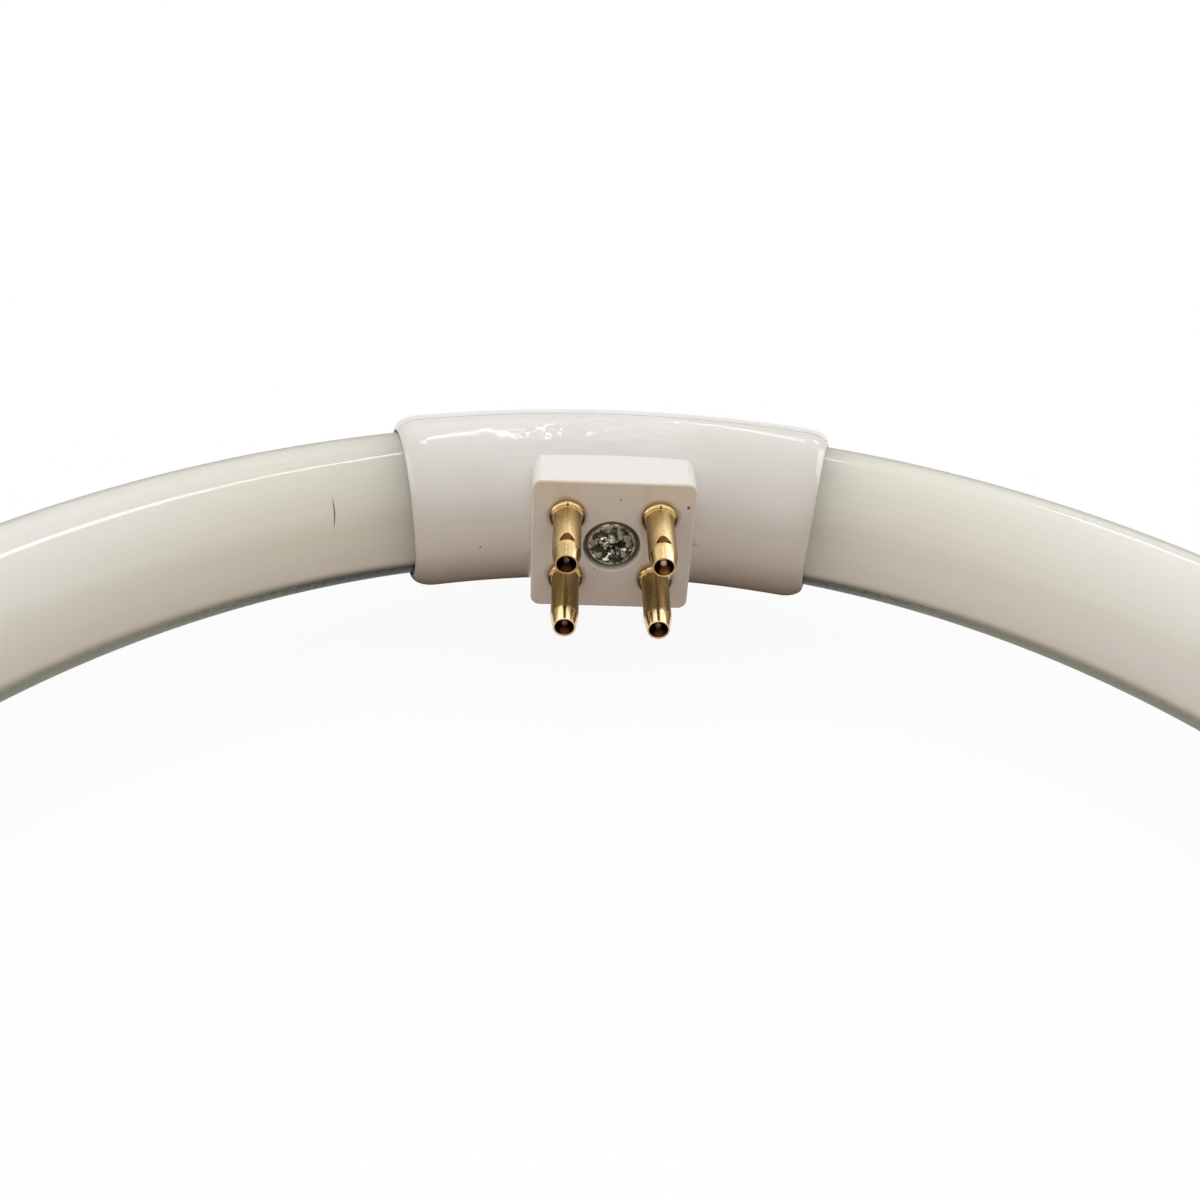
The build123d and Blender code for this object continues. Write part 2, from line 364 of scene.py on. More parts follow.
class Finish:
    """A material's or a world's node tree, built up from values."""

    def __init__(self, owner):
        owner.use_nodes = True
        self.owner = owner
        self.tree = owner.node_tree
        self.tree.nodes.clear()

    def node(self, kind, settings=None, sockets=None, output=0):
        """Adds a node, sets its settings, then its sockets' values or links, and returns one output."""
        made = self.tree.nodes.new("ShaderNode" + kind)
        for name, value in (settings or {}).items():
            setattr(made, name, value)
        for key, value in (sockets or {}).items():
            if isinstance(value, Value):
                self.tree.links.new(value.socket, made.inputs[key])
            else:
                made.inputs[key].default_value = value
        return Value(self, made.outputs[output])

    def place(self):
        """The point's place in the lamp's frame."""
        return self.node("TexCoord", output="Object")

    def parts(self, vector):
        """A vector's x, y and z."""
        split = self.node("SeparateXYZ", sockets={0: vector})
        return [Value(self, socket) for socket in split.socket.node.outputs]

    def joined(self, x, y, z):
        """A vector from its x, y and z."""
        return self.node("CombineXYZ", sockets={0: x, 1: y, 2: z})

    def noise(self, vector, scale, detail=2.0, roughness=0.5, fourth=None):
        """Soft noise from 0 to 1, over four dimensions where a fourth is given."""
        sockets = {"Vector": vector, "Scale": scale, "Detail": detail, "Roughness": roughness}
        settings = {}
        if fourth is not None:
            settings = {"noise_dimensions": "4D"}
            sockets["W"] = fourth
        return self.node("TexNoise", settings, sockets)

    def cells(self, vector, scale):
        """The distance to the nearest of many scattered points."""
        return self.node("TexVoronoi", {}, {"Vector": vector, "Scale": scale})

    def blend(self, factor, low, high):
        """A colour between two, plain ones given as three numbers."""
        low, high = (c if isinstance(c, Value) else (*c, 1.0) for c in (low, high))
        return self.node("Mix", {"data_type": "RGBA"}, {0: factor, 6: low, 7: high}, output=2)

    def bump(self, height, distance, under=None):
        """A normal raised by a height, over another bump where one lies under it."""
        sockets = {"Height": height, "Strength": 1.0, "Distance": distance}
        if under is not None:
            sockets["Normal"] = under
        return self.node("Bump", sockets=sockets)

    def seen(self):
        """1 for rays of the camera, gloss and glass, else 0."""
        rays = self.node("LightPath").socket.node.outputs
        camera, gloss, glass = (
            Value(self, rays[f"Is {kind} Ray"]) for kind in ("Camera", "Glossy", "Transmission"))
        return camera.largest(gloss).largest(glass)

    def surface(self, shader):
        """Links the shader to the output and returns the material or world."""
        kind = "OutputMaterial" if isinstance(self.owner, bpy.types.Material) else "OutputWorld"
        self.node(kind, sockets={"Surface": shader}, output=slice(0))
        return self.owner


def material(name):
    """A new material's empty finish."""
    return Finish(bpy.data.materials.new(name))


# Coated glass: turns from the base, lengths, and patterns in changes per metre unless a line says otherwise
aged_near = radians(15)
aged_far = radians(50)
clear_near = radians(12)
clear_far = radians(40)
clear_skew = radians(3)
streaks_across = 13.0  # per tube radius
streaks_along = 10.0
grain_across = 40.0  # per tube radius
grain_along = 110.0  # per radian
coat_clouds = 70.0
coat_flecks = 110.0
glass_waves = 45.0
glass_wave_height = 0.04 * MM
mark_fade_out = 0.02 * MM
mark_fade_in = 0.03 * MM


def glass_finish(glass):
    """Cream coat under clear glass, with lengthwise streaks, aged ends and a scratch, painted light lower
    down the coat and painted reflections along the wall's edges.
    """
    f = material("coated_glass")
    place = f.place()
    x, y, z = f.parts(place)
    out = (x * x + y * y) ** 0.5
    across = (out - ring_radius) / tube_radius
    lift = (z - axis_height) / tube_radius
    along = x.math("ARCTAN2", x, y)
    far = abs(along).rise(aged_near, aged_far)

    streak = f.noise(
        f.joined(across * streaks_across, lift * streaks_across, x * streaks_along), 1.0, 4.0, 0.7,
        fourth=y * streaks_along)
    cloud = f.noise(place, coat_clouds, 2.0, 0.5)
    tone = (streak - 0.5) * (1.3 - far * 0.8) + (cloud - 0.5) * 0.3
    coat = f.blend((far + tone).rise(-0.2, 1.2), glass.coat_end, glass.coat)
    # Painted light: lighter, bluer coat low on the tube and more on the right arm
    painted_light_low = lift.rise(0.55, -0.45) * (0.5 + x.rise(0, ring_radius * 0.7) * 0.5)
    coat = f.blend(painted_light_low, coat, glass.coat_low)

    slope = lift.math("ARCTAN2", lift, across)
    run = (slope - glass.mark_slope) * (tube_radius / glass.mark_half)
    bend = run * run * (glass.mark_bow / ring_radius) + run * (glass.mark_lean / ring_radius)
    miss = abs(along - glass.mark_turn + bend) * ring_radius
    mark = ((1.0 - run * run) * (glass.mark_width / 2) - miss).rise(-mark_fade_out, mark_fade_in)
    fleck = (0.012 - f.cells(place, coat_flecks)).rise(0.0, 0.006)
    coat = f.blend(mark.largest(fleck) * 0.9, coat, glass.mark)

    # Painted reflection: seen edge on, the tube's lower edge and top edge get a painted colour for what the
    # clear wall reflects
    edge_on = f.node("LayerWeight", {}, {"Blend": 0.5}, output="Facing")
    seen_wall = 1.0 - (1.0 - ((tube_radius - glass.wall) / tube_radius) ** 2) ** 0.5
    under = edge_on.rise(seen_wall - 0.09, seen_wall + 0.12) * lift.rise(-0.12, -0.34)
    over = edge_on.rise(0.62, 0.92) * lift.rise(0.2, 0.45) * 0.8
    grain = f.noise(
        f.joined(across * grain_across, lift * grain_across, along * grain_along), 1.0, 3.0, 0.65)
    deep = edge_on.rise(seen_wall, 0.95)
    clear = abs(along + clear_skew).rise(clear_near, clear_far)
    painted_wall_reflection = f.blend(
        (clear * 0.9 + deep * 0.2 + (grain - 0.5) * 1.6).rise(0.0, 1.1), glass.rim_end, glass.rim)
    normal = f.bump(f.noise(place, glass_waves, 1.0), glass_wave_height)
    body = f.node("BsdfPrincipled", {}, {
        "Base Color": coat, "Roughness": 0.03 + streak * 0.03, "Normal": normal, "Subsurface Weight": 1.0,
        "Subsurface Radius": (1.0, 0.98, 0.93), "Subsurface Scale": glass.scatter})
    wall = f.node("BsdfPrincipled", {}, {
        "Base Color": f.blend(under, glass.rim_top, painted_wall_reflection), "Roughness": 0.45,
        "Specular IOR Level": 0.12, "Normal": normal})
    return f.surface(f.node("MixShader", {}, {0: under.largest(over), 1: body, 2: wall}))


def pin_distances(x, z):
    """Across from the nearest pin's axis, and straight out from it."""
    side = abs(x) - pin_offset_x
    rise = abs(z - axis_height) - pin_offset_z
    return side, (side * side + rise * rise) ** 0.5


# White plastic: lengths, and patterns in changes per metre
plastic_clouds = 90.0
painted_shade_from = 4 * MM
painted_shade_to = 14 * MM
face_skin = 0.1 * MM
face_fade = 0.5 * MM
warm_from = 3 * MM
warm_to = 5 * MM
smears = 800.0
smear_width = 0.5 * MM
halo_inside = 1.5 * MM
halo_outside = 2.0 * MM
halo_depth = 2 * MM
speck_wobbles = 4000.0
speck_wobble = 0.12 * MM
plastic_flecks = 120.0
ripples = 160.0
crinkles = 480.0
crease_middle = -1.0 * MM
crease_half = 10.0 * MM
crease_low = 0.80 * collar_radius
crease_high = 0.93 * collar_radius
side_near = 0.05 * MM
side_far = 0.4 * MM
base_near = 0.05 * MM
base_far = 0.2 * MM
inner_fade = 2 * MM
scatter_depth = 0.8 * MM

# Dirt specks on the block's face and the collar: place, radius and strength
specks = (
    ((0.60 * MM, face_y, axis_height + 4.85 * MM), 0.14 * MM, 0.8),
    ((6.45 * MM, face_y, axis_height + 4.27 * MM), 0.20 * MM, 0.95),
    ((-1.38 * MM, face_y, axis_height - 2.36 * MM), 0.16 * MM, 0.45),
    ((-11.40 * MM, 57.33 * MM, axis_height - 0.45 * MM), 0.12 * MM, 0.8),
)


def plastic_finish(plastic):
    """Glossy white moulding with ripples, creases on the collar's top, specks, a brown ring round the beads
    that is partly dirt and partly painted reflection of the brass, painted shade on the right of the
    collar, and a grey, glossless underside that is painted shade.
    """
    f = material("white_plastic")
    place = f.place()
    x, y, z = f.parts(place)
    cloud = f.noise(place, plastic_clouds, 3.0, 0.55)
    # Cloudy patches, plus painted shade darkening the right of the collar
    cloud_and_painted_shade = (cloud + x.rise(painted_shade_from, painted_shade_to) * 0.3).rise(0.35, 0.75)
    body = f.blend(cloud_and_painted_shade, plastic.body, plastic.shade)
    face = y.rise(face_y + face_fade, face_y + face_skin)
    # Warmer, browner towards the top of the block's face
    warmed = z.rise(axis_height + warm_from, axis_height + warm_to) * face * 0.7
    body = f.blend(warmed, body, plastic.warm)

    out = pin_distances(x, z)[1]
    # A brown ring round each bead: partly dirt, partly painted reflection of the brass
    smear = f.noise(place, smears, 2.0)
    ragged = out + (smear - 0.5) * smear_width
    stain = ragged.rise(halo_outside, halo_inside) * y.rise(flange_front + halo_depth, flange_front)
    body = f.blend(stain * 0.75, body, plastic.stain)

    scattered = f.node("TexNoise", {}, {"Vector": place, "Scale": speck_wobbles}, output="Color")
    wobble = f.node("VectorMath", {"operation": "SCALE"}, {0: scattered, "Scale": speck_wobble})
    moved = f.node("VectorMath", {"operation": "ADD"}, {0: place, 1: wobble})
    for middle, radius, strength in specks:
        miss = f.node("VectorMath", {"operation": "DISTANCE"}, {0: moved, 1: middle}, output="Value")
        body = f.blend(miss.rise(radius, radius * 0.5) * strength, body, plastic.speck)
    fleck = (0.010 - f.cells(place, plastic_flecks)).rise(0.0, 0.006) * 0.6
    body = f.blend(fleck, body, plastic.speck)

    ripple = f.noise(place, ripples, 2.0, 0.5)
    top = z.rise(axis_height + crease_low, axis_height + crease_high)
    crease_area = top * abs(x - crease_middle).rise(crease_half, crease_half * 0.4)
    crease = f.noise(f.joined(x * 0.5, y, z), crinkles, 2.0, 0.6)
    waves = f.bump(ripple, plastic.ripple)
    creases = f.bump(crease * crease_area, plastic.crinkle, under=waves)
    gloss = f.node("BsdfPrincipled", {}, {
        "Base Color": body, "Roughness": plastic.roughness + (cloud - 0.5) * 0.1, "Normal": creases,
        "Subsurface Weight": 0.15, "Subsurface Radius": (1.0, 0.75, 0.6),
        "Subsurface Scale": scatter_depth})

    # Painted shade: the underside of the block and of the collar's inner half is painted grey and loses its
    # gloss
    block_side = pin_offset_x + plastic.block_margin
    block_base = axis_height - pin_offset_z - plastic.block_drop
    beside = abs(x).rise(block_side + side_near, block_side + side_far)
    below = beside.largest(z.rise(block_base + base_far, block_base + base_near))
    inner = ((x * x + y * y) ** 0.5).rise(ring_radius + inner_fade, ring_radius - inner_fade)
    under = z.rise(axis_height, axis_height * 0.2) * inner * below
    dull_and_painted_shade = f.node("BsdfPrincipled", {}, {
        "Base Color": (*plastic.grime, 1.0), "Roughness": 0.5, "Specular IOR Level": 0.0})
    return f.surface(f.node("MixShader", {}, {0: under, 1: gloss, 2: dull_and_painted_shade}))


# Brass: lengths, and patterns in changes per metre
half_way = 1 * MM  # from the middle, where one side's pins give way to the other's
bead_near = 0.02 * MM
bead_far = 0.1 * MM
tip_fade = 0.05 * MM
brass_clouds = 900.0
brass_cloud_height = 0.012 * MM
drawn_lines = 4200.0
drawn_height = 0.006 * MM
drawn_stretch = 0.05
dark_stripes = 2100.0
stripe_stretch = 0.04
brass_pits = 5200.0
notch_fade = 0.04 * MM
dent_fade = 0.05 * MM
mouth_lip = 0.15 * MM


def brass_finish(pins):
    """Brass, tarnished along the shaft and bright at the tip, brown in the bore, with painted shade on the
    sides, the underside and the lower part of the bead, painted reflection stripes on the lower pins and a
    painted highlight streak on the upper pins and lower tips.
    """
    f = material("pin_brass")
    place = f.place()
    x, y, z = f.parts(place)
    side, out = pin_distances(x, z)
    level = z - axis_height
    height = level - level.sign() * pin_offset_z
    facing = f.parts(f.node("TexCoord", output="Normal"))[2]
    ahead = y.rise(flange_front - bead_near, flange_front - bead_far)
    shaft = ahead * y.rise(pin_straight_end - tip_fade, pin_straight_end + tip_fade)

    cloud = f.noise(place, brass_clouds, 3.0, 0.6)
    drawn = f.noise(f.joined(x, y * drawn_stretch, z), drawn_lines, 3.0, 0.6)
    stripe = f.noise(f.joined(x, y * stripe_stretch, z * 0.4), dark_stripes, 2.0, 0.5)
    pits = f.noise(place, brass_pits, 2.0, 0.6).rise(0.57, 0.66) * shaft
    lower_pin = level.rise(half_way, -half_way)
    # Painted shade: the sides of each shaft are painted more tarnished
    painted_side_shade = abs(side).rise(pin_radius * 0.55, pin_radius)
    dull_and_painted_shade = cloud.rise(0.45, 0.8) * 0.3 + drawn.rise(0.45, 0.75) * 0.25
    dull_and_painted_shade = dull_and_painted_shade + shaft * (0.16 + painted_side_shade * 0.5) + 0.1
    skin = f.blend(dull_and_painted_shade, pins.brass, pins.tarnish)
    # Painted reflection: broad stripes on the lower pins
    skin = f.blend(stripe.rise(0.42, 0.58) * lower_pin * (0.05 + shaft * 0.65), skin, pins.stripe)
    on_right = x.rise(-half_way, half_way)
    tip = y.rise(pin_straight_end + tip_fade, pin_straight_end - tip_fade)
    skin = f.blend(tip * (1.0 - lower_pin) * (0.7 - on_right * 0.45), skin, pins.tarnish)
    # Painted highlight on the lower pins' tips
    skin = f.blend(tip * lower_pin * 0.6, skin, pins.gleam)
    # Painted highlight: a streak right of each upper pin's axis, stronger on the right pin
    right = side * x.sign()
    streak = abs(right - pin_radius * 0.35).rise(pin_radius * 0.4, pin_radius * 0.1) * (1.0 - lower_pin)
    skin = f.blend(streak * ahead * (0.3 + on_right * 0.55), skin, pins.gleam)
    skin = f.blend(pits * 0.6, skin, pins.dark)
    # Painted shade: surfaces facing down are painted nearly black
    skin = f.blend(facing.rise(0.2, -0.7) * 0.8, skin, pins.dark)
    # Painted shade on the lower part of the bead; the notch in the bead is darkened too
    bead = out.rise(pin_radius * 1.02, pin_radius * 1.06)
    grime = bead * height.rise(flange_radius * 0.42, flange_radius * 0.12)
    notch = bead * (pins.notch_width / 2 - abs(side) - (height - pin_radius) * 0.6).rise(0, notch_fade)
    skin = f.blend(grime.largest(notch * height.rise(0, pin_radius)) * 0.96, skin, pins.dark)
    sunk = out.rise(pin_radius * 0.985, pin_radius * 0.92)
    dent = shaft * sunk * out.rise(pins.bore / 2, pins.bore / 2 + dent_fade)
    skin = f.blend(dent * 0.97, skin, pins.dent)
    depth = y.rise(pin_low.y + mouth_lip, pin_low.y + pins.mouth_depth)
    bore = out.rise(pins.tip / 2, pins.mouth / 2) * (1.0 - dent)
    skin = f.blend(bore * (0.7 + depth * 0.25), skin, pins.inside)
    rough = 0.15 + shaft * 0.17 + dull_and_painted_shade * 0.12
    normal = f.bump(cloud, brass_cloud_height, under=f.bump(drawn, drawn_height))
    shader = f.node("BsdfPrincipled", {}, {
        "Base Color": skin, "Metallic": 1.0, "Roughness": rough, "Normal": normal})
    return f.surface(shader)


# Zinc plate: lengths, and patterns in changes per metre
screw_patches = 1200.0
patch_height = 0.16 * MM
screw_glints = 1700.0
screw_pits = 6000.0
pit_height = 0.05 * MM
pale_left = 0.17 * MM
pale_up = 0.35 * MM
pale_inside = 0.4 * MM
pale_outside = 0.5 * MM
pale_ragged = 1 * MM


def zinc_finish(screw):
    """Zinc plate, worn in patches, with painted reflections: darker patches, bright glints and a pale spot
    painted into the colour.
    """
    f = material("zinc_screw")
    place = f.place()
    x, y, z = f.parts(place)
    rise = z - axis_height
    worn = ((x * x + rise * rise) ** 0.5).rise(screw_radius * 0.93, screw_radius * 0.76)
    patch = f.noise(place, screw_patches, 3.0, 0.6)
    painted_glint = f.noise(place, screw_glints, 2.0, 0.5)
    pits = f.noise(place, screw_pits, 2.0, 0.7)
    # Partly wear, partly painted reflection: darker patches on the head's face
    skin = f.blend(patch.rise(0.42, 0.53) * worn, f.blend(worn, screw.ring, screw.grey), screw.worn)
    # Painted glints
    skin = f.blend(painted_glint.rise(0.60, 0.66) * worn, skin, screw.zinc)
    # Painted highlight: a pale spot left of and above the middle
    off_middle = ((x + pale_left) ** 2.0 + (rise - pale_up) ** 2.0) ** 0.5
    pale = (off_middle + (painted_glint - 0.5) * pale_ragged).rise(pale_outside, pale_inside)
    skin = f.blend(pale * 0.7, skin, screw.zinc)
    normal = f.bump(pits * worn, pit_height, under=f.bump(patch * worn, patch_height))
    shader = f.node("BsdfPrincipled", {}, {
        "Base Color": skin, "Metallic": 1.0, "Roughness": 0.16 + patch * 0.2, "Normal": normal})
    return f.surface(shader)


# Lead wire: a length, and patterns in changes per metre
bare_patches = 600.0
wire_grain = 3000.0
wire_grain_height = 0.01 * MM


def wire_finish(wires):
    """Tinned copper, bare in places, with painted shade on three ends inside the pins and a painted glint
    on the fourth.
    """
    f = material("lead_wire")
    place = f.place()
    bare = f.noise(place, bare_patches, 3.0, 0.6)
    skin = f.blend(bare.rise(0.5, 0.7), wires.tinned, wires.copper)
    x, y, z = f.parts(place)
    # Painted glint: the upper right wire end is left bright and less metallic; the other three ends get
    # painted shade inside the pins
    painted_glint_end = x.rise(-half_way, half_way) * z.rise(axis_height - half_way, axis_height + half_way)
    ends = y.rise(flange_front, pin_straight_end) * (1.0 - painted_glint_end)
    skin = f.blend(ends * 0.9, skin, wires.tarnish)
    shader = f.node("BsdfPrincipled", {}, {
        "Base Color": skin, "Metallic": 1.0 - painted_glint_end * 0.8, "Roughness": 0.28 + bare * 0.2,
        "Normal": f.bump(f.noise(place, wire_grain), wire_grain_height)})
    return f.surface(shader)


def floor_finish(stage):
    """Pale floor that the camera, gloss and glass see as white, and that keeps the lamp's shadow."""
    f = material("floor")
    seen = f.seen()
    pale = f.node("BsdfDiffuse", {}, {"Color": (*stage.floor, 1.0)})
    left = 1.0 - stage.glow
    matte = f.node("BsdfDiffuse", {}, {"Color": (left, left, left, 1.0)})
    glow = f.node("Emission", {}, {"Color": (1.0, 1.0, 1.0, 1.0), "Strength": stage.glow})
    white = f.node("AddShader", {}, {0: matte, 1: glow})
    return f.surface(f.node("MixShader", {}, {0: seen, 1: pale, 2: white}))


def sky_finish(stage):
    """Soft light from all round, white where the camera, gloss and glass see it."""
    f = Finish(bpy.data.worlds.new("studio"))
    seen = f.seen()
    soft = f.node("Background", {}, {"Color": (*stage.sky, 1.0)})
    white = f.node("Background", {}, {"Color": (1.0, 1.0, 1.0, 1.0)})
    return f.surface(f.node("MixShader", {}, {0: seen, 1: soft, 2: white}))


def verts_of(geometry):
    return [g for g in geometry if isinstance(g, bmesh.types.BMVert)]


def edges_of(geometry):
    return [g for g in geometry if isinstance(g, bmesh.types.BMEdge)]


def quarter_round(along, drop, radius, steps):
    """(advance, radius) pairs of an edge rounded over a length and a drop."""
    turns = [pi / 2 * step / steps for step in range(1, steps + 1)]
    return [(along * sin(turn), radius - drop * (1 - cos(turn))) for turn in turns]


def draw_out(bm, rim, centre, direction, radius, stations):
    """Extrudes a round rim through (advance, radius) stations along a direction; returns the last rim."""
    done = 0.0
    for advance, wide in stations:
        made = bmesh.ops.extrude_edge_only(bm, edges=rim)["geom"]
        verts = set(verts_of(made))
        rim = [edge for edge in edges_of(made) if set(edge.verts) <= verts]
        ratio = wide / radius
        space = Matrix.Translation(-(centre + direction * done))
        bmesh.ops.scale(bm, vec=(ratio, ratio, ratio), space=space, verts=list(verts))
        bmesh.ops.translate(bm, vec=direction * (advance - done), verts=list(verts))
        done = advance
        radius = wide
    return rim


def section_matrix(turn):
    """From a flat circle to the tube's section at a turn from the base, towards +X."""
    upright = Matrix(((0, 0, 1, 0), (1, 0, 0, 0), (0, 1, 0, 0), (0, 0, 0, 1)))
    lifted = Matrix.Translation((0, ring_radius, axis_height))
    return Matrix.Rotation(-turn, 4, "Z") @ lifted @ upright


def new_piece(bm, name, finish, body, replaced, sharp=radians(40)):
    """Welds and shades a mesh, and makes it a piece that rides on its body."""
    bmesh.ops.remove_doubles(bm, verts=bm.verts, dist=WELD)
    bmesh.ops.recalc_face_normals(bm, faces=bm.faces)
    mesh = bpy.data.meshes.new(name)
    bm.to_mesh(mesh)
    bm.free()
    mesh.shade_smooth()
    mesh.set_sharp_from_angle(angle=sharp)
    mesh.materials.append(finish)
    piece = bpy.data.objects.new(name, mesh)
    bpy.context.scene.collection.objects.link(piece)
    if body is not None:
        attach(piece, body)
    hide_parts(replaced)
    return piece


class LAMP_OT_glass_ring(bpy.types.Operator):
    """Spin the glass ring and close its two sealed ends"""

    bl_idname = "lamp.glass_ring"
    bl_label = "Glass Ring"

    def execute(self, context):
        glass = context.scene.lamp.glass
        bm = bmesh.new()
        start = (glass.gap / 2 + glass.seal_round) / ring_radius
        bmesh.ops.create_circle(bm, segments=glass.around, radius=tube_radius, matrix=section_matrix(start))
        first = list(bm.edges)
        spun = bmesh.ops.spin(
            bm, geom=list(bm.verts) + first, cent=(0, 0, 0), axis=(0, 0, 1),
            angle=2 * start - 2 * pi, steps=glass.along, use_merge=False)
        for turn, rim, side in ((start, first, -1), (-start, edges_of(spun["geom_last"]), 1)):
            self.seal(bm, glass, section_matrix(turn), rim, side)
        new_piece(bm, "glass_ring", glass_finish(glass), "ring", "glass_tube")
        return {"FINISHED"}

    def seal(self, bm, glass, section, rim, side):
        """A rounded end with its exhaust tip."""
        centre = section.to_translation()
        direction = section.to_3x3().col[2] * side
        shoulder = quarter_round(glass.seal_round, glass.seal_round, tube_radius, glass.seal_steps)
        tip = glass.tip_diameter / 2
        end = glass.seal_round + glass.tip_length
        straight = end - glass.tip_round
        nose = quarter_round(glass.tip_round, glass.tip_round, tip, glass.tip_steps)
        stations = shoulder + [(glass.seal_round, tip), (straight, tip)]
        stations += [(straight + advance, wide) for advance, wide in nose]
        rim = draw_out(bm, rim, centre, direction, tube_radius, stations)
        bmesh.ops.edgeloop_fill(bm, edges=rim)


class LAMP_OT_base_shells(bpy.types.Operator):
    """Give the two moulded shells of the base their finish"""

    bl_idname = "lamp.base_shells"
    bl_label = "Base Shells"

    def execute(self, context):
        finish = plastic_finish(context.scene.lamp.plastic)
        for name in ("inner_shell", "outer_shell"):
            shell = frame["nodes"][name]
            shell.data.materials.clear()
            shell.data.materials.append(finish)
        return {"FINISHED"}


class LAMP_OT_contact_pins(bpy.types.Operator):
    """Turn the four hollow brass pins and crimp them"""

    bl_idname = "lamp.contact_pins"
    bl_label = "Contact Pins"

    def execute(self, context):
        pins = context.scene.lamp.pins
        finish = brass_finish(pins)
        for level, side in corners:
            name = f"{level}_{side}"
            middle = Vector(mounts[f"pin_{name}"]["pos_m"])
            bm = self.turned(pins, middle)
            self.crimp(bm, pins, middle, 1 if level == "upper" else -1)
            new_piece(bm, f"pin_{name}", finish, "base", f"contact_pin_{name}")
        return {"FINISHED"}

    def turned(self, pins, middle):
        """A closed half profile, rounded at its corners and spun about the pin's axis."""
        tail_y = pin_high.y
        block_back = tail_y - pins.tail
        face = flange_front + pins.flange_thickness
        stake = pins.stake / 2
        bore = pins.bore / 2
        profile = (
            (tail_y, bore, 0), (tail_y, pin_radius, 0), (block_back + pins.stake_thickness, pin_radius, 0),
            (block_back + pins.stake_thickness, stake, 0), (block_back, stake, 0),
            (block_back, pin_radius, 0), (face, pin_radius, 0), (face, flange_radius, 0),
            (flange_front, flange_radius, pins.edge), (flange_front, pin_radius, pins.rim),
            (pin_straight_end, pin_radius, pins.shoulder), (pin_low.y, pins.tip / 2, pins.rim),
            (pin_low.y, pins.mouth / 2, pins.rim), (pin_low.y + pins.mouth_depth, bore, pins.edge))
        bm = bmesh.new()
        verts = [bm.verts.new((middle.x, y, middle.z + out)) for y, out, rounding in profile]
        for one, two in zip(verts, verts[1:] + verts[:1]):
            bm.edges.new((one, two))
        for vert, (y, out, rounding) in zip(verts, profile):
            if rounding:
                bmesh.ops.bevel(
                    bm, geom=[vert], offset=rounding, offset_type="OFFSET", segments=pins.edge_steps,
                    profile=0.5, affect="VERTICES", material=-1)
        shortest = 2 * MM  # shorter edges aren't the shaft's
        outside = bore * 1.1
        shaft = [edge for edge in bm.edges if edge.calc_length() > shortest
                 and all(v.co.y < flange_front for v in edge.verts)
                 and all(v.co.z - middle.z > outside for v in edge.verts)]
        bmesh.ops.subdivide_edges(bm, edges=shaft, cuts=pins.shaft_cuts)
        bmesh.ops.spin(
            bm, geom=list(bm.verts) + list(bm.edges), cent=middle, axis=(0, -1, 0), angle=2 * pi,
            steps=pins.around, use_merge=True)
        return bm

    def crimp(self, bm, pins, middle, up):
        """Pushes a half-moon dent into the shaft, flat towards the tip, and a small one into the bead."""
        flat_y = flange_front + pins.flange_thickness - pins.crimp
        lowest = pin_radius * 0.3  # the dent lies above this
        steepness = 2.2  # of the dent's sides
        for vert in bm.verts:
            side = vert.co.x - middle.x
            rise = (vert.co.z - middle.z) * up
            along = (vert.co.y - flat_y) / pins.crimp_length
            across = side / (pins.crimp_width / 2)
            if 0 <= along <= 1 and rise > lowest:
                inside = max(0.0, 1 - along ** 2 - across ** 2)
                vert.co.z -= up * pins.crimp_depth * min(1.0, steepness * inside)
            notch = 1 - (side / (pins.notch_width / 2)) ** 2
            front = 1 - (vert.co.y - flange_front) / (pins.flange_thickness / 2)
            if notch > 0 and 0 < front <= 1 and rise > pin_radius + pins.rim:
                vert.co.z -= up * pins.notch * notch * front


